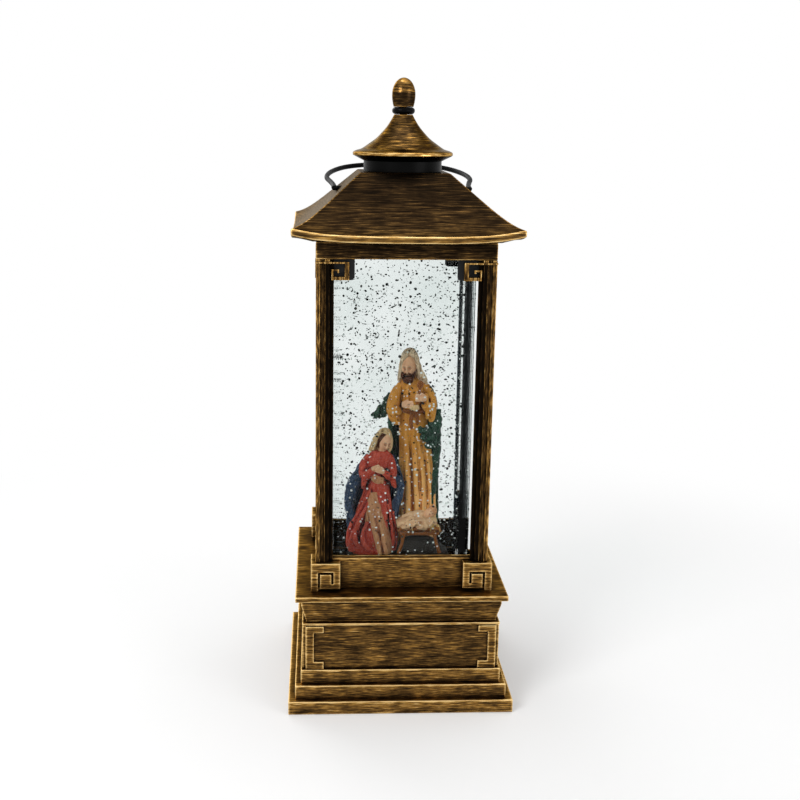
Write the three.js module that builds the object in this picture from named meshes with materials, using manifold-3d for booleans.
// A battery lantern with a water-filled tank, 280 mm tall on a 101.6 mm square plinth.
// Units are millimetres, +Z is up, the front faces -Y and the origin is the middle of the underside.

import * as THREE from 'three';
import { mergeVertices } from 'three/addons/utils/BufferGeometryUtils.js';
import Module from 'manifold-3d';

const wasm = await Module();
wasm.setup();

// Clearances
const fitGap = 0.3;
const seam = 0.1;
const slideGap = 0.2;

// Facets on round pieces
const fineSides = 32;
const roundSides = 24;
const smallSides = 12;
const tinySides = 8;
const cornerSteps = 4;

// Tank
const tankHalf = 33.8;
const tankWall = 2.4;
const tankCorner = 6;
const tankFloorThickness = 3.5;
const tankFloorRise = 1.4;
const fillerRadius = 3.6;
const fillerFlange = 0.9;
const fillerHead = 1.2;

// Square frame round the tank
const padThickness = 1.2;
const padReach = 16.6;
const padHeight = 8.9;
const padCorner = 1.5;
const railThickness = 1.9;
const railHeight = 15.1;
const railBevel = 1.1;
const postHeight = 135.8;
const postBack = 1.3;
const postFront = 1.8;
const postWidth = 6.1;
const postReturn = 1.6;
const reedWidth = 1.8;
const reedDepth = 0.8;
const reedSlope = 0.3;
const reedEdge = 0.4;

// Scroll frets beside each post head
const fretThickness = 1.7;
const fretReach = 14.1;
const fretDrop = 8.8;
const fretBar = 1.8;
const fretThin = 0.7;
const fretSill = 1.4;
const fretTop = 1.1;
const fretSpace = 0.6;
const fretRiserHeight = 3.2;
const fretHookRun = 3.1;
const fretHookDrop = 0.8;

// Corner blocks
const blockHeight = 13.2;
const blockWidth = 13.1;
const blockThickness = 4.4;
const blockLeg = 4.1;
const blockFootGap = 1.3;
const grooveWidth = 1;
const grooveDepth = 2;
const scrollSquare = 5;
const scrollTop = 4.2;
const scrollLip = 5.5;

// Upper frame and roof
const upperFrameHeight = 7.5;
const lidThickness = 2.7;
const eaveOverhang = 10.3;
const eaveThickness = 2.7;
const eaveRise = 0.2;
const eaveLift = 3.2;
const liftPower = 4;
const roofHeight = 28;
const roofTopHalf = 19.6;
const roofSag = 0.19;
const roofWall = 2.2;
const roofSideSteps = 10;
const roofRings = 9;
const soffitOverlap = 1.3;
const soffitLip = 3;
const soffitStep = 2;
const cavityRings = 5;

// Cap and finial; the cap's curve is [share of its radius, rise above its rim]
const neckRadius = 17.5;
const neckHeight = 4.5;
const capRadius = 22.4;
const capFlare = 2.3;
const capRim = 1.5;
const capRise = 16.4;
const capTip = 4.1;
const capCurve = [[0.93, 0.7], [0.82, 1.5], [0.7, 3.3], [0.54, 5.9], [0.43, 8.4], [0.33, 11], [0.25, 13.7]];
const finialBore = 1.8;
const finialStud = 1.5;
const finialStudLength = 9;
const ringRadius = 5.1;
const ringHeight = 3.1;
const ringSteps = 6;
const knobRadius = 5.2;
const knobHeight = 12.6;
const knobWidest = 0.42;
const knobTaper = 0.15;
const knobStart = -1.05;
const knobSteps = 9;

// Wire bail
const wireRadius = 1.15;
const bailStandoff = 2.2;
const bailPinDepth = 1.7;
const bailPivotDrop = 7.8;
const bailTilt = 7.5;
const bailBore = 0.3;
const bailMouth = 0.85;
const bailMouthDepth = 0.1;
const bailBend = 1.6;
const bailBendShare = 0.28;
const bailCrown = 65.2;
const bailSteps = 54;

// Base
const deckMargin = 6.9;
const deckHeight = 2.4;
const corniceHeight = 11.2;
const corniceInset = 2.6;
const corniceSlope = 2.1;
const corniceFoot = 0.8;
const corniceRise = 8;
const dieInset = 4.2;
const dieHeight = 21.1;
const beadOut = 1.2;
const beadHeight = 1.1;
const upperStepOut = 1.85;
const upperStepHeight = 6.5;
const lowerStepOut = 2.55;
const lowerStepHeight = 6.4;
const plinthOut = 3;
const plinthHeight = 6.1;
const housingWall = 2.2;

// Raised trims on the die's corners
const trimRise = 1.1;
const trimWidth = 3.7;
const trimSetback = 0.4;
const trimReach = 8.1;
const trimFoot = 3.5;
const trimHead = 3.1;
const trimHeadGap = 0.5;

// Tank seat inside the base
const seatThickness = 2.5;
const wellDepth = 6.3;
const seatRim = 4.4;
const rotorRoom = 1.8;
const bracketBossRadius = 4;
const bracketBossAt = 29;

// Underside, screws and battery door
const coverThickness = 2.6;
const pillarRadius = 3.5;
const pillarInset = 3;
const pillarTop = 24;
const screwRadius = 1.2;
const screwLength = 12;
const screwHeadRadius = 2.8;
const screwHeadHeight = 1.45;
const screwSink = 0.15;
const screwRecess = 0.1;
const screwSlot = 0.7;
const screwSlotShare = 0.6;
const doorThickness = 1.8;
const doorInset = 1.2;
const doorEdge = 1;
const doorOverlap = 5.3;
const doorOverhang = 0.2;
const hingeRadius = 0.85;
const hingeHeight = 0.9;
const hingeSetback = 0.4;
const hingePinRadius = 0.4;
const hingePinLength = 1.6;
const knuckleAt = 17;
const knuckleLength = 6;
const notchDepth = 1.6;
const fingerRadius = 6;

// Battery cells and their contacts
const cellRadius = 7.1;
const cellLength = 50.5;
const cellPitchGap = 0.3;
const cellCount = 3;
const cellLift = 0.3;
const nubRadius = 2.6;
const nubLength = 1.2;
const bayWall = 1.25;
const bayRise = 4;
const springLength = 4.4;
const springFoot = 4;
const springTip = 2.4;
const contactPlate = 0.5;
const contactWidth = 10;
const contactFoot = 3.6;
const contactTab = 0.6;

// Switch in the underside, below the board and between its posts
const switchX = 22;
const switchOffset = 0.3;
const switchSize = [14, 7, 6];
const switchTravel = 1.9;
const switchFlange = [5, 3.2, 1.8];
const switchNub = 2.4;
const switchNubFoot = 0.6;

// Circuit board and lamps
const boardSize = [38, 23, 1.6];
const boardBack = 3;
const boardFoot = 20;
const boardPostRadius = 2.2;
const boardPostInset = 3.2;
const chipSize = [7, 6, 1.5];
const chipBack = 9;
const canRadius = 2.5;
const canHeight = 7;
const canAt = [10, 17];
const lampRadius = 2.5;
const lampFlange = 0.6;
const lampAt = 25.5;
const lampHeight = 5.5;

// Swirl drive: motor and rotor below the tank, impeller in the water
const motorRadius = 12;
const motorHeight = 14;
const motorBoss = 3;
const motorBossHeight = 1.4;
const strapHalfLength = 33;
const strapHalfWidth = 7;
const strapThickness = 1.7;
const cupWall = 1.3;
const cupDepth = 6;
const shaftRadius = 1;
const shaftDepth = 5;
const rotorRadius = 10;
const rotorThickness = 4.4;
const magnetPocket = 0.5;
const impellerRadius = 15;
const impellerHub = 4.5;
const impellerHeight = 4;
const impellerBlades = 6;
const bladeThickness = 1.2;
const impellerLift = 0.7;
const pinRadius = 1.4;
const pinProud = 1;

// Ground under the figures
const groundRadius = 26;
const groundWall = 4;
const groundHeight = 11;
const groundCeiling = 6.8;
const groundBevel = 3;
const groundWindow = 12;
const groundWindowHeight = 3.8;
const waterGap = 1.6;

// Insulated leads
const leadRadius = 0.7;
const leadSteps = 16;
const leadRise = 3;
const leadArch = 5;
const leadLandAt = [16, 5];
const lampLandAt = [8, 6];
const motorLandAt = 4.8;
const motorLeadInset = 4;
const motorLeadDrop = 1.6;

// Heights, from the floor up
const lowerStepTop = plinthHeight + lowerStepHeight;
const dieFoot = lowerStepTop + upperStepHeight;
const dieTop = dieFoot + dieHeight;
const housingTop = dieTop + beadHeight;
const deckFoot = housingTop + corniceHeight;
const deckTop = deckFoot + deckHeight;
const frameFoot = deckTop + seam;
const railTop = deckTop + railHeight;
const blockTop = deckTop + blockHeight;
const postFoot = blockTop + seam;
const postTop = blockTop + postHeight;
const upperFrameFoot = postTop + seam;
const upperFrameTop = postTop + upperFrameHeight;
const roofFoot = upperFrameTop + seam;
const roofTop = upperFrameTop + roofHeight;
const capFoot = roofTop + seam;
const seatTop = deckTop - wellDepth;
const seatFoot = seatTop - seatThickness;
const tankFoot = seatTop + seam;
const lidFoot = upperFrameTop - lidThickness;
const tankTop = lidFoot - fitGap;
const tankFloorFoot = tankFoot + tankFloorRise;
const tankFloorTop = tankFloorFoot + tankFloorThickness;
const groundTop = tankFloorTop + seam + groundHeight;
const figureFoot = groundTop + fitGap;

// Half widths, from the tank outwards
const postInner = tankHalf + fitGap + padThickness + fitGap;
const postMiddle = postInner + postBack;
const postOuter = postMiddle + postFront;
const railInner = tankHalf + fitGap;
const railOuter = railInner + railThickness;
const blockInner = railOuter + fitGap;
const blockOuter = blockInner + blockThickness;
const deckHalf = blockOuter + deckMargin;
const corniceTopHalf = deckHalf - corniceInset;
const corniceFootHalf = corniceTopHalf - corniceSlope;
const dieHalf = deckHalf - dieInset;
const beadHalf = dieHalf + beadOut;
const upperStepHalf = dieHalf + upperStepOut;
const lowerStepHalf = upperStepHalf + lowerStepOut;
const plinthHalf = lowerStepHalf + plinthOut;
const lowerCavity = lowerStepHalf - housingWall;
const middleCavity = upperStepHalf - housingWall;
const upperCavity = dieHalf - housingWall;
const eaveHalf = postOuter + eaveOverhang;
const soffitHalf = postOuter + soffitOverlap;
const tankInner = tankHalf - tankWall;
const tankInnerCorner = tankCorner - tankWall;

// Solids and geometries
function solidOf(geometry) {
  const bare = geometry.clone();
  bare.deleteAttribute('normal');
  bare.deleteAttribute('uv');
  const merged = mergeVertices(bare, 1e-4);
  const vertProperties = new Float32Array(merged.attributes.position.array);
  const triVerts = new Uint32Array(merged.index.array);
  return new wasm.Manifold(new wasm.Mesh({ numProp: 3, vertProperties, triVerts }));
}

function geometryOf(solid) {
  const mesh = solid.getMesh();
  const geometry = new THREE.BufferGeometry();
  geometry.setAttribute('position', new THREE.BufferAttribute(new Float32Array(mesh.vertProperties), 3));
  geometry.setIndex(new THREE.BufferAttribute(new Uint32Array(mesh.triVerts), 1));
  geometry.computeVertexNormals();
  return geometry;
}

function joined(solids) {
  return solids.reduce((sum, solid) => sum.add(solid));
}

function box(x, y, z) {
  const geometry = new THREE.BoxGeometry(x[1] - x[0], y[1] - y[0], z[1] - z[0]);
  geometry.translate((x[0] + x[1]) / 2, (y[0] + y[1]) / 2, (z[0] + z[1]) / 2);
  return solidOf(geometry);
}

function squareBox(half, z) {
  return box([-half, half], [-half, half], z);
}

function upright(radius, z, sides, centre = [0, 0]) {
  const geometry = new THREE.CylinderGeometry(radius, radius, z[1] - z[0], sides);
  geometry.rotateX(Math.PI / 2);
  geometry.translate(centre[0], centre[1], (z[0] + z[1]) / 2);
  return solidOf(geometry);
}

function lyingX(radius, x, sides, centre) {
  const geometry = new THREE.CylinderGeometry(radius, radius, x[1] - x[0], sides);
  geometry.rotateZ(Math.PI / 2);
  geometry.translate((x[0] + x[1]) / 2, centre[0], centre[1]);
  return solidOf(geometry);
}

function turned(profile, sides) {
  const points = profile.map(([radius, z]) => new THREE.Vector2(radius, z));
  const geometry = new THREE.LatheGeometry(points, sides);
  geometry.rotateX(Math.PI / 2);
  return solidOf(geometry);
}

function outline(points) {
  return new THREE.Shape(points.map(([x, y]) => new THREE.Vector2(x, y)));
}

function extruded(shape, depth) {
  return new THREE.ExtrudeGeometry(shape, { depth, bevelEnabled: false, curveSegments: cornerSteps });
}

function prism(shape, z) {
  const geometry = extruded(shape, z[1] - z[0]);
  geometry.translate(0, 0, z[0]);
  return solidOf(geometry);
}

function wallPlate(shape, y) {
  const geometry = extruded(shape, y[1] - y[0]);
  geometry.rotateX(Math.PI / 2);
  geometry.translate(0, y[1], 0);
  return solidOf(geometry);
}

function roundedSquare(half, corner) {
  const shape = new THREE.Shape();
  const flat = half - corner;
  shape.moveTo(flat, -half);
  shape.absarc(flat, -flat, corner, -Math.PI / 2, 0);
  shape.absarc(flat, flat, corner, 0, Math.PI / 2);
  shape.absarc(-flat, flat, corner, Math.PI / 2, Math.PI);
  shape.absarc(-flat, -flat, corner, Math.PI, 1.5 * Math.PI);
  return shape;
}

// A closed skin over rings of points that run anticlockwise seen from above, listed from the bottom up
function loft(rings) {
  const count = rings[0].length;
  const positions = [];
  const index = [];
  for (const ring of rings) {
    for (const point of ring) positions.push(...point);
  }
  for (let level = 0; level < rings.length - 1; level += 1) {
    for (let side = 0; side < count; side += 1) {
      const next = (side + 1) % count;
      const low = level * count;
      const high = low + count;
      index.push(low + side, low + next, high + next);
      index.push(low + side, high + next, high + side);
    }
  }
  addCap(positions, index, rings[0], 0, false);
  addCap(positions, index, rings[rings.length - 1], (rings.length - 1) * count, true);
  const geometry = new THREE.BufferGeometry();
  geometry.setAttribute('position', new THREE.Float32BufferAttribute(positions, 3));
  geometry.setIndex(index);
  return solidOf(geometry);
}

function addCap(positions, index, ring, start, facesUp) {
  const middle = positions.length / 3;
  const sum = ring.reduce((total, point) => total.map((value, axis) => value + point[axis]), [0, 0, 0]);
  positions.push(...sum.map((value) => value / ring.length));
  for (let side = 0; side < ring.length; side += 1) {
    const here = start + side;
    const next = start + ((side + 1) % ring.length);
    index.push(...(facesUp ? [middle, here, next] : [middle, next, here]));
  }
}

function squareRing(half, z) {
  return [[half, -half, z], [half, half, z], [-half, half, z], [-half, -half, z]];
}

function squareLoft(profile) {
  return loft(profile.map(([half, z]) => squareRing(half, z)));
}

function ellipseRing(centre, radii, z, sides) {
  const ring = [];
  for (let side = 0; side < sides; side += 1) {
    const angle = (2 * Math.PI * side) / sides;
    ring.push([centre[0] + radii[0] * Math.cos(angle), centre[1] + radii[1] * Math.sin(angle), z]);
  }
  return ring;
}

// Figure sections are [z, centre x, centre y, radius x, radius y], and grow widens them all round
function ellipseLoft(sections, grow, sides) {
  const last = sections.length - 1;
  return loft(sections.map(([z, cx, cy, rx, ry], at) => {
    const ends = (at === last ? grow : 0) - (at === 0 ? grow : 0);
    return ellipseRing([cx, cy], [rx + grow, ry + grow], z + ends, sides);
  }));
}

function ellipsoid(centre, radii, grow, sides) {
  const geometry = new THREE.SphereGeometry(1, sides, Math.round(sides / 2));
  geometry.scale(radii[0] + grow, radii[1] + grow, radii[2] + grow);
  geometry.translate(...centre);
  return solidOf(geometry);
}

function tube(points, radius, steps, sides) {
  const path = new THREE.CatmullRomCurve3(points.map((point) => new THREE.Vector3(...point)));
  const section = new THREE.Shape();
  section.absarc(0, 0, radius, 0, 2 * Math.PI);
  const settings = { extrudePath: path, steps, curveSegments: sides / 2, bevelEnabled: false };
  return solidOf(new THREE.ExtrudeGeometry(section, settings));
}

// Finishes
function finish(color, roughness, metalness) {
  return new THREE.MeshStandardMaterial({ color, roughness, metalness });
}

function clearFinish(color, roughness, opacity) {
  return new THREE.MeshStandardMaterial({ color, roughness, transparent: true, opacity });
}

const bronze = finish(0x4a3320, 0.45, 0.5);
const brightBronze = finish(0x9c7436, 0.4, 0.6);
const blackPlastic = finish(0x161412, 0.5, 0);
const blackWire = finish(0x17191a, 0.4, 0.6);
const steel = finish(0xb4b6b8, 0.35, 0.9);
const springSteel = finish(0xc8c9ca, 0.3, 0.9);
const cellJacket = finish(0x2d4a63, 0.4, 0.3);
const boardGreen = finish(0x1f5a35, 0.6, 0);
const rubberGrey = finish(0x3a3a3a, 0.8, 0);
const redLead = finish(0xa01818, 0.5, 0);
const blackLead = finish(0x1a1a1a, 0.5, 0);
const lampWhite = finish(0xf4f2e6, 0.2, 0);
const whitePlastic = finish(0xd8d6d0, 0.5, 0);
const darkGround = finish(0x3b2b22, 0.9, 0);
const ochreCloth = finish(0x9a6a2c, 0.8, 0);
const blueCloth = finish(0x1d2a4d, 0.8, 0);
const brownWood = finish(0x5a3a22, 0.8, 0);
const paleCloth = finish(0xd9b7ab, 0.8, 0);
const clearTank = clearFinish(0xe8f0f2, 0.05, 0.25);
const clearWater = clearFinish(0xdfe9ee, 0.02, 0.2);

// The lantern
const lantern = new THREE.Group();

function place(name, solid, material, parent = lantern) {
  const mesh = new THREE.Mesh(geometryOf(solid), material);
  mesh.name = name;
  parent.add(mesh);
  return mesh;
}

// Corners are modelled at +X +Y and turned by quarter turns
function placeAtCorners(name, solid, material) {
  for (let corner = 0; corner < 4; corner += 1) {
    const turn = new THREE.Group();
    turn.rotation.z = (corner * Math.PI) / 2;
    lantern.add(turn);
    place(`${name}_${corner + 1}`, solid, material, turn);
  }
}

// Base
function dieTrim() {
  const outer = dieHalf - trimSetback;
  const inner = outer - trimWidth;
  const reach = outer - trimReach;
  const foot = dieFoot;
  const head = dieTop - trimHeadGap;
  const shape = outline([
    [outer, foot], [outer, head], [reach, head], [reach, head - trimHead],
    [inner, head - trimHead], [inner, foot + trimFoot], [reach, foot + trimFoot], [reach, foot],
  ]);
  return wallPlate(shape, [dieHalf - housingWall / 2, dieHalf + trimRise]);
}

function baseHousing() {
  const outer = squareLoft([
    [plinthHalf, 0], [plinthHalf, plinthHeight], [lowerStepHalf, plinthHeight], [lowerStepHalf, lowerStepTop],
    [upperStepHalf, lowerStepTop], [upperStepHalf, dieFoot], [dieHalf, dieFoot], [dieHalf, dieTop],
    [beadHalf, dieTop], [beadHalf, housingTop],
  ]);
  const below = -fitGap;
  const cavity = joined([
    squareBox(lowerCavity, [below, lowerStepTop - housingWall]),
    squareBox(middleCavity, [below, dieFoot - housingWall]),
    squareBox(upperCavity, [below, housingTop + fitGap]),
  ]);
  const trim = dieTrim();
  let shell = outer.subtract(cavity);
  for (let side = 0; side < 4; side += 1) {
    shell = shell.add(trim.rotate([0, 0, side * 90]));
    shell = shell.add(trim.mirror([1, 0, 0]).rotate([0, 0, side * 90]));
  }
  return withScrewPillars(shell);
}

const pillarAt = upperCavity - pillarInset;
const screwFoot = screwSink + screwHeadHeight;
const cornerSigns = [[1, 1], [-1, 1], [-1, -1], [1, -1]];

function withScrewPillars(shell) {
  const pillarFoot = coverThickness + seam;
  let solid = shell;
  for (const [sx, sy] of cornerSigns) {
    const centre = [sx * pillarAt, sy * pillarAt];
    const hole = [pillarFoot - fitGap, screwFoot + screwLength + 2 * fitGap];
    solid = solid.add(upright(pillarRadius, [pillarFoot, pillarTop], smallSides, centre));
    solid = solid.subtract(upright(screwRadius + fitGap, hole, smallSides, centre));
  }
  return solid;
}

function baseTop() {
  const foot = housingTop + seam;
  const slopeFoot = housingTop + corniceFoot;
  const slopeTop = slopeFoot + corniceRise;
  const outer = squareLoft([
    [corniceFootHalf, foot], [corniceFootHalf, slopeFoot], [corniceTopHalf, slopeTop],
    [corniceTopHalf, deckFoot], [deckHalf, deckFoot], [deckHalf, deckTop],
  ]);
  const well = squareBox(tankHalf + fitGap, [seatTop, deckTop + fitGap]);
  const under = squareBox(corniceFootHalf - seatRim, [foot - fitGap, seatFoot]);
  const through = [seatFoot - fitGap, seatTop + fitGap];
  const rotorHole = upright(rotorRadius + rotorRoom, through, roundSides);
  let solid = outer.subtract(well).subtract(under).subtract(rotorHole);
  for (const side of [-1, 1]) {
    const lampCentre = [side * lampAt, side * lampAt];
    const bossCentre = [side * bracketBossAt, 0];
    solid = solid.subtract(upright(lampRadius + fitGap, through, smallSides, lampCentre));
    solid = solid.add(upright(bracketBossRadius, [foot, seatFoot + seam], smallSides, bossCentre));
  }
  return solid;
}

// Battery bay: the cells lie along X, side by side from the front
const cellPitch = 2 * cellRadius + cellPitchGap;
const bayFront = -(middleCavity - fitGap - bayWall);
const firstCellY = bayFront + cellPitchGap + cellRadius;
const bayBack = firstCellY + (cellCount - 1) * cellPitch + cellRadius + cellPitchGap;
const cellZ = coverThickness + cellLift + cellRadius;
const bayTop = cellZ + bayRise;
const bayHalf = (cellLength + springLength + 2 * contactPlate + 3 * fitGap) / 2;
const doorFront = bayFront + doorOverhang;
const doorBack = bayBack - doorOverlap;
const doorHalf = bayHalf - doorInset;
const hingeY = doorFront - hingeSetback;
const boardFront = upperCavity - boardBack - boardSize[1];
const boardMiddle = boardFront + boardSize[1] / 2;
const switchAt = [switchX, boardMiddle + switchOffset];

function bayWalls() {
  const outer = [[-bayHalf - bayWall, bayHalf + bayWall], [bayFront - bayWall, bayBack + bayWall]];
  const rise = [coverThickness - seam, bayTop];
  const walls = box(outer[0], outer[1], rise);
  const room = box([-bayHalf, bayHalf], [bayFront, bayBack], [-seam, bayTop + seam]);
  return walls.subtract(room);
}

function hingeNotch(side) {
  const half = knuckleLength / 2 + fitGap;
  const x = [side * knuckleAt - half, side * knuckleAt + half];
  const notch = box(x, [doorFront - notchDepth, doorFront + seam], [-seam, coverThickness - fitGap]);
  const holes = [x[0] - hingePinLength - fitGap, x[1] + hingePinLength + fitGap];
  return notch.add(lyingX(hingePinRadius + fitGap, holes, tinySides, [hingeY, hingeHeight]));
}

function bottomCover() {
  const half = lowerCavity - fitGap;
  const through = [-seam, coverThickness + seam];
  let solid = squareBox(half, [0, coverThickness]).add(bayWalls());
  solid = solid.subtract(box([-doorHalf, doorHalf], [doorFront, doorBack], through));
  solid = solid.subtract(hingeNotch(-1)).subtract(hingeNotch(1));
  const slot = [switchNub / 2 + switchTravel + fitGap, switchNub / 2 + fitGap];
  const [sx, sy] = switchAt;
  solid = solid.subtract(box([sx - slot[0], sx + slot[0]], [sy - slot[1], sy + slot[1]], through));
  const recess = [-seam, screwFoot + screwRecess];
  for (const [px, py] of cornerSigns) {
    const centre = [px * pillarAt, py * pillarAt];
    solid = solid.subtract(upright(screwRadius + fitGap, through, smallSides, centre));
    solid = solid.subtract(upright(screwHeadRadius + fitGap, recess, roundSides, centre));
  }
  return solid.add(boardPosts());
}

function boardPosts() {
  const halfX = boardSize[0] / 2 - boardPostInset;
  const halfY = boardSize[1] / 2 - boardPostInset;
  const z = [coverThickness - seam, boardFoot - seam];
  return joined(cornerSigns.map(([px, py]) => {
    return upright(boardPostRadius, z, tinySides, [px * halfX, boardMiddle + py * halfY]);
  }));
}

function batteryDoor() {
  const half = doorHalf - fitGap;
  const front = hingeY + hingeSetback + doorEdge;
  const web = [hingeHeight - hingeRadius / 2, hingeHeight + hingeRadius / 2];
  let solid = box([-half, half], [front, doorBack - fitGap], [0, doorThickness]);
  for (const side of [-1, 1]) {
    const x = [side * knuckleAt - knuckleLength / 2, side * knuckleAt + knuckleLength / 2];
    const pins = [x[0] - hingePinLength, x[1] + hingePinLength];
    solid = solid.add(lyingX(hingeRadius, x, smallSides, [hingeY, hingeHeight]));
    solid = solid.add(lyingX(hingePinRadius, pins, tinySides, [hingeY, hingeHeight]));
    solid = solid.add(box(x, [hingeY, front + seam], web));
  }
  const recess = upright(fingerRadius, [-seam, doorThickness / 2], roundSides, [0, doorBack]);
  return solid.subtract(recess);
}

function screw() {
  const head = upright(screwHeadRadius, [screwSink, screwFoot], roundSides);
  const shank = upright(screwRadius, [screwFoot - seam, screwFoot + screwLength], smallSides);
  const slotHalf = screwHeadRadius * screwSlotShare;
  const slotDepth = [screwSink - seam, screwSink + screwHeadHeight / 2];
  const slotA = box([-slotHalf, slotHalf], [-screwSlot / 2, screwSlot / 2], slotDepth);
  const slotB = box([-screwSlot / 2, screwSlot / 2], [-slotHalf, slotHalf], slotDepth);
  return head.add(shank).subtract(slotA).subtract(slotB).translate([pillarAt, pillarAt, 0]);
}

// A cell's nub points to +X where way is 1 and to -X where it is -1
const cellEnd = bayHalf - contactPlate - fitGap;

function cell(at, way) {
  const y = firstCellY + at * cellPitch;
  const tip = way * cellEnd;
  const shoulder = tip - way * nubLength;
  const tail = tip - way * cellLength;
  const body = [Math.min(shoulder, tail), Math.max(shoulder, tail)];
  const root = shoulder - way * seam;
  const nub = [Math.min(root, tip), Math.max(root, tip)];
  return lyingX(cellRadius, body, roundSides, [y, cellZ]).add(lyingX(nubRadius, nub, smallSides, [y, cellZ]));
}

const contactTop = bayTop + contactTab;

function contactPlateSolid(end, first, last) {
  const front = firstCellY + first * cellPitch - contactWidth / 2;
  const y = [front, front + (last - first) * cellPitch + contactWidth];
  const wall = end * (bayHalf - seam);
  const face = end * (bayHalf - seam - contactPlate);
  return box([Math.min(wall, face), Math.max(wall, face)], y, [contactFoot, contactTop]);
}

function contactSpring(end, at) {
  const face = bayHalf - seam - contactPlate;
  const length = springLength - fitGap + seam;
  const cone = new THREE.CylinderGeometry(springFoot, springTip, length, smallSides);
  cone.rotateZ(-Math.PI / 2);
  cone.translate(face + seam - length / 2, 0, 0);
  const solid = solidOf(cone);
  const turnedSolid = end > 0 ? solid : solid.rotate([0, 0, 180]);
  return turnedSolid.translate([0, firstCellY + at * cellPitch, cellZ]);
}

// Switch
function switchBody() {
  const [sx, sy] = switchAt;
  const [length, width, height] = switchSize;
  const foot = coverThickness + seam;
  const shell = box(
    [sx - length / 2, sx + length / 2],
    [sy - width / 2, sy + width / 2],
    [foot, foot + height],
  );
  const roomHalf = switchFlange[0] / 2 + switchTravel + fitGap;
  const room = box(
    [sx - roomHalf, sx + roomHalf],
    [sy - switchFlange[1] / 2 - fitGap, sy + switchFlange[1] / 2 + fitGap],
    [foot - seam, foot + slideGap + switchFlange[2] + fitGap],
  );
  return shell.subtract(room);
}

function switchSlider() {
  const [sx, sy] = switchAt;
  const foot = coverThickness + seam + slideGap;
  const flange = box(
    [sx - switchFlange[0] / 2, sx + switchFlange[0] / 2],
    [sy - switchFlange[1] / 2, sy + switchFlange[1] / 2],
    [foot, foot + switchFlange[2]],
  );
  const half = switchNub / 2;
  return flange.add(box([sx - half, sx + half], [sy - half, sy + half], [switchNubFoot, foot + seam]));
}

// Board and lamps
function circuitBoard() {
  const x = boardSize[0] / 2;
  const plate = box([-x, x], [boardFront, boardFront + boardSize[1]], [boardFoot, boardFoot + boardSize[2]]);
  const top = boardFoot + boardSize[2];
  const chipY = [boardFront + chipBack, boardFront + chipBack + chipSize[1]];
  const chip = box([-chipSize[0] / 2, chipSize[0] / 2], chipY, [top - seam, top + chipSize[2]]);
  const canCentre = [canAt[0], boardFront + canAt[1]];
  const can = upright(canRadius, [top - seam, top + canHeight], smallSides, canCentre);
  return plate.add(chip).add(can);
}

function lamp(side) {
  const centre = [side * lampAt, side * lampAt];
  const top = tankFloorFoot - fitGap;
  const foot = top - lampHeight;
  const flange = upright(lampRadius + lampFlange, [foot, seatFoot - seam], smallSides, centre);
  const body = upright(lampRadius, [foot, top], smallSides, centre);
  return body.add(flange);
}

// Swirl drive
const strapTop = housingTop;
const strapFoot = strapTop - strapThickness;
const motorTop = strapFoot - slideGap;
const motorFoot = motorTop - motorHeight;
const rotorFoot = motorTop + motorBossHeight + 2 * fitGap + strapThickness;

function motor() {
  const can = upright(motorRadius, [motorFoot, motorTop], roundSides);
  const bossTop = motorTop + motorBossHeight;
  const boss = upright(motorBoss, [motorTop - seam, bossTop], smallSides);
  const bore = upright(shaftRadius + fitGap, [motorTop - shaftDepth, bossTop + seam], smallSides);
  return can.add(boss).subtract(bore);
}

function motorBracket() {
  const strapY = [-strapHalfWidth, strapHalfWidth];
  const strap = box([-strapHalfLength, strapHalfLength], strapY, [strapFoot, strapTop]);
  const cupRadius = motorRadius + fitGap;
  const cup = upright(cupRadius + cupWall, [motorTop - cupDepth, strapTop], roundSides);
  const room = upright(cupRadius, [motorTop - cupDepth - seam, strapFoot], roundSides);
  const hole = upright(motorBoss + fitGap, [strapFoot - seam, strapTop + seam], smallSides);
  return strap.add(cup).subtract(room).subtract(hole);
}

function driveRotor() {
  const disc = upright(rotorRadius, [rotorFoot, rotorFoot + rotorThickness], roundSides);
  const shaftFoot = motorTop - shaftDepth + fitGap;
  let solid = disc.add(upright(shaftRadius, [shaftFoot, rotorFoot + seam], smallSides));
  for (const side of [-1, 1]) {
    const magnet = [side * rotorRadius / 2, 0];
    const pocket = [rotorFoot + rotorThickness - magnetPocket, rotorFoot + rotorThickness + seam];
    solid = solid.subtract(upright(rotorRadius / 4, pocket, smallSides, magnet));
  }
  return solid;
}

const impellerFoot = tankFloorTop + impellerLift;

function impeller() {
  const z = [impellerFoot, impellerFoot + impellerHeight];
  let solid = upright(impellerHub, z, roundSides);
  for (let blade = 0; blade < impellerBlades; blade += 1) {
    const arm = box([impellerHub / 2, impellerRadius], [-bladeThickness / 2, bladeThickness / 2], z);
    solid = solid.add(arm.rotate([0, 0, (360 * blade) / impellerBlades]));
  }
  return solid.subtract(upright(pinRadius + fitGap, [z[0] - seam, z[1] + seam], smallSides));
}

// Tank, floor and water
function tank() {
  const outer = prism(roundedSquare(tankHalf, tankCorner), [tankFoot, tankTop]);
  const inner = prism(roundedSquare(tankInner, tankInnerCorner), [tankFoot - seam, tankTop - tankWall]);
  return outer.subtract(inner);
}

const fillerAt = [lampAt, -lampAt];

function tankFloor() {
  const half = tankInner - seam;
  const plate = prism(roundedSquare(half, tankInnerCorner - seam), [tankFloorFoot, tankFloorTop]);
  const pin = upright(pinRadius, [tankFloorTop - seam, impellerFoot + impellerHeight + pinProud], smallSides);
  const hole = upright(fillerRadius, [tankFloorFoot - seam, tankFloorTop + seam], smallSides, fillerAt);
  return plate.add(pin).subtract(hole);
}

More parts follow.
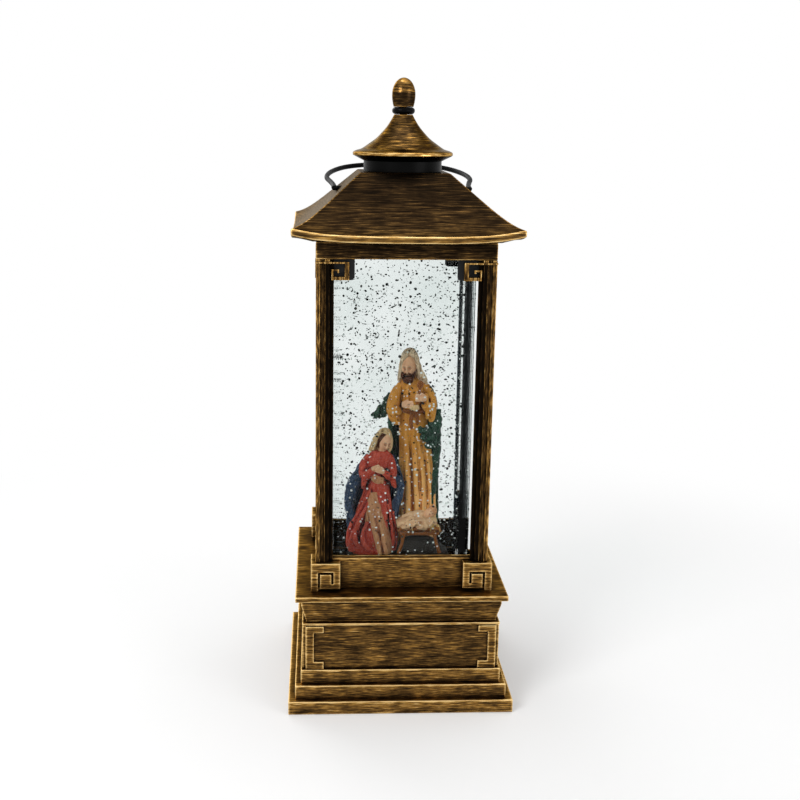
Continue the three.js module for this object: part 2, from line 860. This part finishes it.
function fillerPlug() {
  const headTop = tankFloorFoot - seam;
  const headFoot = headTop - fillerHead;
  const head = upright(fillerRadius + fillerFlange, [headFoot, headTop], smallSides, fillerAt);
  const stem = upright(fillerRadius - seam, [headFoot, tankFloorTop], smallSides, fillerAt);
  return head.add(stem);
}

// The mound is rounded off at its top edge in three straight cuts
function groundSolid(grow) {
  const foot = tankFloorTop + (grow > 0 ? 0 : seam);
  const top = groundTop + grow;
  const radius = groundRadius + grow;
  return turned([
    [0, foot], [radius, foot], [radius, top - groundBevel * 2], [radius - groundBevel / 3, top - groundBevel],
    [radius - groundBevel, top - groundBevel / 5], [radius - groundBevel * 1.5, top], [0, top],
  ], fineSides);
}

function figureBase() {
  const foot = tankFloorTop + seam;
  const room = upright(groundRadius - groundWall, [foot - seam, foot + groundCeiling], roundSides);
  const half = groundWindow / 2;
  const reach = groundRadius + fitGap;
  const z = [foot - seam, foot + groundWindowHeight];
  return groundSolid(0)
    .subtract(room)
    .subtract(box([-reach, reach], [-half, half], z))
    .subtract(box([-half, half], [-reach, reach], z));
}

// Figures in plain shapes: robes as lofted ovals, heads as ovoids
const standingSections = [
  [figureFoot, 9.5, 4, 9.6, 7.6], [78, 9, 4, 9.2, 7.2], [95, 9.4, 4, 9.8, 7], [112, 8.5, 4, 11, 7],
  [125, 6.5, 3.6, 12, 6.6], [133, 6, 3.4, 11, 6.2], [139.6, 6, 3.2, 10, 5.4], [143.5, 4.4, 2.4, 4.6, 4.2],
  [147, 3.4, 2, 3.6, 3.6],
];
const kneelingSections = [
  [figureFoot, -12, -5, 11.2, 8.6], [72, -12.2, -5, 11.4, 8.4], [84, -12.8, -5, 12, 8],
  [94, -12, -5, 12.6, 7.6], [102, -9.8, -5, 11, 6.8], [107, -8.6, -5, 8.6, 5.6],
  [110.5, -7.4, -5.2, 4.4, 4],
];
const mangerCentre = [9.5, -10];
const mangerHalf = [9.5, 5];
const mangerFoot = 74;
const mangerTop = 79.6;
const mangerTaper = [1.5, 1.2];
const mangerLeg = 1.6;
const mangerLegInset = [2.4, 2];
const infantRadii = [7, 3, 2.6];
const infantHead = 2.8;
const infantHeadAt = [6.6, 0.3];
const infantShift = 1.2;
const standingHead = { centre: [3, 1.6, 152], radii: [6, 6, 8] };
const kneelingHead = { centre: [-6.4, -5.6, 114.6], radii: [6, 6, 7.2] };
const bodySides = 20;
const headSides = 16;

// Heights above the feet are written for a ground at this height and move with it
const drawnGround = 65;
const groundShift = figureFoot - drawnGround;

function onGround(sections) {
  return sections.map(([z, ...rest], at) => [at === 0 ? figureFoot : z + groundShift, ...rest]);
}

function robedFigure(sections, head, grow) {
  const [x, y, z] = head.centre;
  const body = ellipseLoft(onGround(sections), grow, bodySides);
  return body.add(ellipsoid([x, y, z + groundShift], head.radii, grow, headSides));
}

function mangerRing(halfX, halfY, z) {
  const [cx, cy] = mangerCentre;
  return [
    [cx + halfX, cy - halfY, z], [cx + halfX, cy + halfY, z], [cx - halfX, cy + halfY, z],
    [cx - halfX, cy - halfY, z],
  ];
}

function manger(grow) {
  const [halfX, halfY] = mangerHalf.map((half) => half + grow);
  const foot = mangerFoot - grow + groundShift;
  const trough = loft([
    mangerRing(halfX - mangerTaper[0], halfY - mangerTaper[1], foot),
    mangerRing(halfX, halfY, mangerTop + grow + groundShift),
  ]);
  const legs = cornerSigns.map(([sx, sy]) => {
    const x = mangerCentre[0] + sx * (mangerHalf[0] - mangerLegInset[0]);
    const y = mangerCentre[1] + sy * (mangerHalf[1] - mangerLegInset[1]);
    const half = mangerLeg / 2 + grow;
    return box([x - half, x + half], [y - half, y + half], [figureFoot - grow, foot + mangerLeg / 2 + grow]);
  });
  return trough.add(joined(legs));
}

function infant(grow) {
  const [cx, cy] = mangerCentre;
  const x = cx - infantShift;
  const lie = mangerTop + fitGap + infantRadii[2] + groundShift;
  const headCentre = [x + infantHeadAt[0], cy, lie + infantHeadAt[1]];
  const headRadii = [infantHead, infantHead, infantHead];
  const body = ellipsoid([x, cy, lie], infantRadii, grow, headSides);
  return body.add(ellipsoid(headCentre, headRadii, grow, smallSides));
}

function water() {
  const half = tankInner - seam;
  const z = [tankFloorTop + seam, tankTop - tankWall - seam];
  const block = prism(roundedSquare(half, tankInnerCorner - seam), z);
  const pocket = joined([
    groundSolid(seam),
    robedFigure(standingSections, standingHead, waterGap),
    robedFigure(kneelingSections, kneelingHead, waterGap),
    manger(waterGap),
    infant(waterGap),
  ]);
  return block.subtract(pocket);
}

// Frame round the tank
function lowerFrame() {
  const outer = squareLoft([
    [railOuter, frameFoot], [railOuter, railTop - railBevel], [railOuter - railBevel, railTop],
  ]);
  return outer.subtract(squareBox(railInner, [frameFoot - seam, railTop + seam]));
}

function blockGrooves() {
  const square = blockOuter - blockLeg;
  const legInner = square - scrollSquare;
  const top = blockTop - scrollTop;
  const lip = blockTop - scrollTop - scrollLip;
  const depth = [blockOuter - grooveDepth, blockOuter + seam];
  const legGroove = box([square, square + grooveWidth], depth, [frameFoot - seam, top]);
  const topGroove = box([legInner - grooveWidth, square + grooveWidth], depth, [top - grooveWidth, top]);
  const lipGroove = box([legInner - grooveWidth, legInner], depth, [lip, top]);
  const foot = box(
    [blockOuter - blockWidth - seam, square],
    [blockInner - seam, blockOuter + seam],
    [frameFoot - seam, deckTop + blockFootGap],
  );
  return joined([legGroove, topGroove, lipGroove, foot]);
}

function mirroredOverDiagonal(solid) {
  return solid.mirror([1, -1, 0]);
}

function cornerBlock() {
  const near = blockOuter - blockWidth;
  const plan = outline([
    [near, blockInner], [blockInner, blockInner], [blockInner, near],
    [blockOuter, near], [blockOuter, blockOuter], [near, blockOuter],
  ]);
  const grooves = blockGrooves();
  return prism(plan, [frameFoot, blockTop]).subtract(grooves).subtract(mirroredOverDiagonal(grooves));
}

function postPlan() {
  const near = postOuter - postWidth;
  const back = near - postReturn;
  const floor = postOuter - reedDepth;
  const innerReed = near + reedEdge + reedWidth;
  const outerReed = postOuter - reedWidth;
  const half = [
    [back, postInner], [back, postMiddle], [near, postMiddle], [near, postOuter - reedEdge],
    [near + reedEdge, postOuter], [innerReed, postOuter], [innerReed + reedSlope, floor],
    [outerReed - reedSlope, floor], [outerReed, postOuter],
  ];
  const mirrored = half.map(([x, y]) => [y, x]).reverse();
  return outline([[postInner, postInner], ...half, [postOuter, postOuter], ...mirrored].reverse());
}

function fret() {
  const left = postOuter - fretReach;
  const top = postTop - fretTop;
  const foot = postTop - fretDrop;
  const sill = foot + fretSill;
  const right = left + fretReach - postWidth - fretSpace;
  const head = sill + fretRiserHeight;
  const hookLeft = right - fretHookRun;
  const hookTop = head - fretThin;
  const hookFoot = hookTop - fretHookDrop;
  const shape = outline([
    [left, foot], [right, foot], [right, head], [hookLeft, head], [hookLeft, hookFoot],
    [hookLeft + fretThin, hookFoot], [hookLeft + fretThin, hookTop], [right - fretThin, hookTop],
    [right - fretThin, sill], [left + fretBar, sill], [left + fretBar, top - fretThin],
    [postOuter, top - fretThin], [postOuter, top], [left, top],
  ]);
  return wallPlate(shape, [postOuter - fretThickness, postOuter + fitGap]);
}

function cornerPost() {
  const ear = fret();
  const railRoom = squareBox(railOuter + fitGap, [postFoot - seam, railTop + fitGap]);
  return prism(postPlan(), [postFoot, postTop]).subtract(railRoom).add(ear).add(mirroredOverDiagonal(ear));
}

function padFace() {
  const inner = postOuter - padReach;
  const outer = railInner + padThickness;
  const top = postTop;
  const foot = postTop - padHeight - fitGap;
  const shape = new THREE.Shape();
  shape.moveTo(outer, foot);
  shape.lineTo(outer, top);
  shape.lineTo(inner, top);
  shape.lineTo(inner, foot + padCorner);
  shape.absarc(inner + padCorner, foot + padCorner, padCorner, Math.PI, 1.5 * Math.PI);
  return wallPlate(shape, [railInner, outer]);
}

function tankPad() {
  const face = padFace();
  return face.add(mirroredOverDiagonal(face));
}

function upperFrame() {
  const outer = squareBox(postOuter, [upperFrameFoot, upperFrameTop]);
  return outer.subtract(squareBox(railInner, [upperFrameFoot - seam, lidFoot]));
}

// Roof: rings of points over a square whose hips sag and whose eave corners lift
function roofRing(half, cornerZ, lift) {
  const ring = [];
  const corners = squareRing(half, 0);
  for (let side = 0; side < 4; side += 1) {
    const from = corners[side];
    const to = corners[(side + 1) % 4];
    for (let step = 0; step < roofSideSteps; step += 1) {
      const along = step / roofSideSteps;
      const fromMiddle = Math.abs(2 * along - 1);
      const z = cornerZ - lift * (1 - fromMiddle ** liftPower);
      ring.push([from[0] + (to[0] - from[0]) * along, from[1] + (to[1] - from[1]) * along, z]);
    }
  }
  return ring;
}

const eaveCornerTop = roofFoot + eaveRise + eaveThickness + eaveLift;

function hipHeight(out) {
  const fall = out + roofSag * out * (1 - out);
  return roofTop - (roofTop - eaveCornerTop) * fall;
}

function roofOuter() {
  const eaveUnderside = roofRing(eaveHalf, eaveCornerTop - eaveThickness, eaveLift);
  const rings = [roofRing(soffitHalf, roofFoot, 0), eaveUnderside];
  for (let at = 0; at < roofRings; at += 1) {
    const out = 1 - at / (roofRings - 1);
    const half = roofTopHalf + (eaveHalf - roofTopHalf) * out;
    rings.push(roofRing(half, hipHeight(out), eaveLift * out * out));
  }
  return loft(rings);
}

function roofCavity() {
  const footHalf = soffitHalf - soffitLip;
  const profile = [[footHalf, roofFoot - fitGap], [footHalf, roofFoot + soffitStep]];
  for (let at = 1; at <= cavityRings; at += 1) {
    const half = footHalf + ((roofTopHalf - roofWall - footHalf) * at) / cavityRings;
    const out = Math.max(0, (half + roofWall - roofTopHalf) / (eaveHalf - roofTopHalf));
    profile.push([half, hipHeight(out) - eaveLift * out * out - roofWall]);
  }
  return squareLoft(profile);
}

// How far out the middle of a roof face lies at the bail's pivot, from the fall of the hips and of the lift
function faceAtPivot() {
  const fall = roofTop - eaveCornerTop;
  const square = eaveLift - fall * roofSag;
  const slope = fall * (1 + roofSag);
  const out = (Math.sqrt(slope * slope + 4 * square * bailPivotDrop) - slope) / (2 * square);
  return roofTopHalf + (eaveHalf - roofTopHalf) * out;
}

const bailPivotZ = roofTop - bailPivotDrop;
const pivotFace = faceAtPivot();
const bailFoot = pivotFace + bailStandoff;
const bailPinEnd = pivotFace - bailPinDepth;

function roof() {
  let solid = roofOuter().subtract(roofCavity());
  for (const side of [-1, 1]) {
    const bore = [roofTopHalf, eaveHalf].map((x) => x * side).sort((a, b) => a - b);
    const mouth = [pivotFace - bailMouthDepth, eaveHalf].map((x) => x * side).sort((a, b) => a - b);
    solid = solid.subtract(lyingX(wireRadius + bailBore, bore, smallSides, [0, bailPivotZ]));
    solid = solid.subtract(lyingX(wireRadius + bailMouth, mouth, smallSides, [0, bailPivotZ]));
  }
  return solid;
}

// Cap, ring and knob
const neckTop = capFoot + neckHeight;
const capRimFoot = neckTop + capFlare;
const capRimTop = capRimFoot + capRim;
const capTop = capRimTop + capRise;

function cap() {
  const solid = turned([
    [0, capFoot], [neckRadius, capFoot], [neckRadius, neckTop],
    [capRadius, capRimFoot], [capRadius, capRimTop],
    ...capCurve.map(([share, up]) => [capRadius * share, capRimTop + up]),
    [capTip, capTop], [0, capTop],
  ], fineSides);
  return solid.subtract(upright(finialBore, [capTop - finialStudLength - fitGap, capTop + seam], smallSides));
}

const ringFoot = capTop + seam;
const ringTop = ringFoot + ringHeight;
const knobFoot = ringTop + seam;

function finialRing() {
  const middle = (ringFoot + ringTop) / 2;
  const bulge = ringHeight / 2;
  const profile = [[finialBore, ringFoot], [ringRadius - bulge, ringFoot]];
  for (let at = 1; at < ringSteps; at += 1) {
    const angle = -Math.PI / 2 + (Math.PI * at) / ringSteps;
    profile.push([ringRadius - bulge + bulge * Math.cos(angle), middle + bulge * Math.sin(angle)]);
  }
  profile.push([ringRadius - bulge, ringTop], [finialBore, ringTop], [finialBore, ringFoot]);
  return turned(profile, roundSides);
}

// A point of the egg's outline as [share of its radius, share of its height]
function knobPoint(angle) {
  if (angle > 0) return [Math.cos(angle), knobWidest + (1 - knobWidest) * Math.sin(angle)];
  const down = Math.sin(angle) / Math.sin(knobStart);
  return [1 - knobTaper * down * down, knobWidest * (1 - down)];
}

function finialKnob() {
  const studFoot = capTop - finialStudLength;
  const profile = [[0, studFoot], [finialStud, studFoot], [finialStud, knobFoot]];
  for (let at = 0; at < knobSteps; at += 1) {
    const [radius, up] = knobPoint(knobStart + ((Math.PI / 2 - knobStart) * at) / knobSteps);
    profile.push([knobRadius * radius, knobFoot + knobHeight * up]);
  }
  profile.push([0, knobFoot + knobHeight]);
  return turned(profile, roundSides);
}

// Bail: half of its outline as [x, distance from the pivot], from the pivot to the crown
const bailHalf = [
  [bailFoot, bailBend], [bailFoot, 5.5], [bailFoot + 0.6, 11], [bailFoot + 1.6, 17], [bailFoot + 2.9, 24.5],
  [bailFoot + 2.8, 32], [bailFoot + 1.5, 39.5], [bailFoot - 0.6, 46], [bailFoot - 3.4, 51.8],
  [bailFoot - 7.4, 57.2], [bailFoot - 14, 62], [bailFoot - 22.5, 64.6],
];

function bail() {
  const tilt = THREE.MathUtils.degToRad(bailTilt);
  const corner = bailBend * bailBendShare;
  const pin = [[bailPinEnd, 0], [bailPinEnd + wireRadius, 0]];
  const bend = [[bailFoot - bailBend, 0], [bailFoot - corner, corner]];
  const side = [...pin, ...bend, ...bailHalf];
  const left = side.map(([x, out]) => [-x, out]);
  const right = [...side].reverse();
  const route = [...left, [0, bailCrown], ...right];
  const points = route.map(([x, out]) => [x, out * Math.cos(tilt), bailPivotZ + out * Math.sin(tilt)]);
  return tube(points, wireRadius, bailSteps, tinySides);
}

// Leads inside the base
const boardTop = boardFoot + boardSize[2];
const leadEnd = boardTop + fitGap;
const leadStart = contactTop + fitGap;
const archTop = boardTop + leadArch;
const contactX = bayHalf - seam - contactPlate / 2;
const lampFoot = tankFloorFoot - fitGap - lampHeight - fitGap;

function landing(x, inset) {
  return [[x, boardFront + inset, archTop], [x, boardFront + inset, leadEnd]];
}

// From the plus contact at the front, along the bay's right wall to the board
function redRoute() {
  const y = firstCellY;
  return [
    [contactX, y, leadStart], [contactX, y, leadStart + leadRise],
    [contactX, y + cellRadius, leadStart + 2 * leadRise], [contactX, y + 2 * cellPitch - leadRise, boardTop],
    [contactX - leadArch, boardFront - leadRise, archTop - 1], ...landing(leadLandAt[0], leadLandAt[1]),
  ];
}

// From the minus contact beside the third cell to the board
function blackRoute() {
  const y = firstCellY + 2 * cellPitch;
  return [
    [-contactX, y, leadStart], [-contactX, y, leadStart + leadRise], [-contactX, y + cellRadius, boardTop],
    [-contactX + leadArch, boardFront - leadRise, archTop - 1], ...landing(-leadLandAt[0], leadLandAt[1]),
  ];
}

// From the motor's underside straight back over the board
function motorRoute() {
  const y = motorRadius - motorLeadInset;
  const low = motorFoot - motorLeadDrop;
  return [
    [0, y, motorFoot - fitGap], [0, y, low], [0, boardFront + 1, low],
    [0, boardFront + motorLandAt - fitGap, low], [0, boardFront + motorLandAt, leadEnd],
  ];
}

// From the front left lamp round the motor, and from the rear right lamp straight down
function frontLampRoute() {
  const side = -lampAt - 4;
  return [
    [-lampAt, -lampAt, lampFoot], [-lampAt, -lampAt, lampFoot - 4], [side, -lampAt + 8, lampFoot - 12],
    [side, 0, lampFoot - 14], [-lampAt + 2, boardFront - 4, archTop + 2],
    ...landing(-lampLandAt[0], lampLandAt[1]),
  ];
}

function rearLampRoute() {
  return [
    [lampAt, lampAt, lampFoot], [lampAt, lampAt, lampFoot - 5], [lampAt - 7, lampAt, lampFoot - 14],
    ...landing(lampLandAt[0], lampLandAt[1]),
  ];
}

function leadTube(points) {
  return tube(points, leadRadius, leadSteps, tinySides);
}

// Assembly
place('base_housing', baseHousing(), bronze);
place('base_top', baseTop(), bronze);
place('bottom_cover', bottomCover(), blackPlastic);
place('battery_door', batteryDoor(), blackPlastic);
placeAtCorners('bottom_screw', screw(), steel);

place('battery_1', cell(0, 1), cellJacket);
place('battery_2', cell(1, -1), cellJacket);
place('battery_3', cell(2, 1), cellJacket);
place('contact_plus', contactPlateSolid(1, 0, 0), springSteel);
place('contact_link_left', contactPlateSolid(-1, 0, 1).add(contactSpring(-1, 0)), springSteel);
place('contact_link_right', contactPlateSolid(1, 1, 2).add(contactSpring(1, 1)), springSteel);
place('contact_minus', contactPlateSolid(-1, 2, 2).add(contactSpring(-1, 2)), springSteel);

place('switch_body', switchBody(), blackPlastic);
place('switch_slider', switchSlider(), whitePlastic);
place('circuit_board', circuitBoard(), boardGreen);
place('led_1', lamp(-1), lampWhite);
place('led_2', lamp(1), lampWhite);

place('battery_lead_red', leadTube(redRoute()), redLead);
place('battery_lead_black', leadTube(blackRoute()), blackLead);
place('motor_lead', leadTube(motorRoute()), blackLead);
place('led_lead_1', leadTube(frontLampRoute()), redLead);
place('led_lead_2', leadTube(rearLampRoute()), redLead);

place('motor', motor(), steel);
place('motor_bracket', motorBracket(), blackPlastic);
place('drive_rotor', driveRotor(), whitePlastic);
place('impeller', impeller(), whitePlastic);

place('tank', tank(), clearTank);
place('tank_floor', tankFloor(), clearTank);
place('filler_plug', fillerPlug(), rubberGrey);
place('water', water(), clearWater);
place('figure_base', figureBase(), darkGround);
place('standing_figure', robedFigure(standingSections, standingHead, 0), ochreCloth);
place('kneeling_figure', robedFigure(kneelingSections, kneelingHead, 0), blueCloth);
place('manger', manger(0), brownWood);
place('infant', infant(0), paleCloth);

place('lower_frame', lowerFrame(), bronze);
placeAtCorners('corner_block', cornerBlock(), brightBronze);
placeAtCorners('corner_post', cornerPost(), bronze);
placeAtCorners('tank_pad', tankPad(), blackPlastic);
place('upper_frame', upperFrame(), bronze);

place('roof', roof(), bronze);
place('cap', cap(), blackPlastic);
place('finial_ring', finialRing(), blackPlastic);
place('finial_knob', finialKnob(), bronze);
place('bail', bail(), blackWire);

export default lantern;
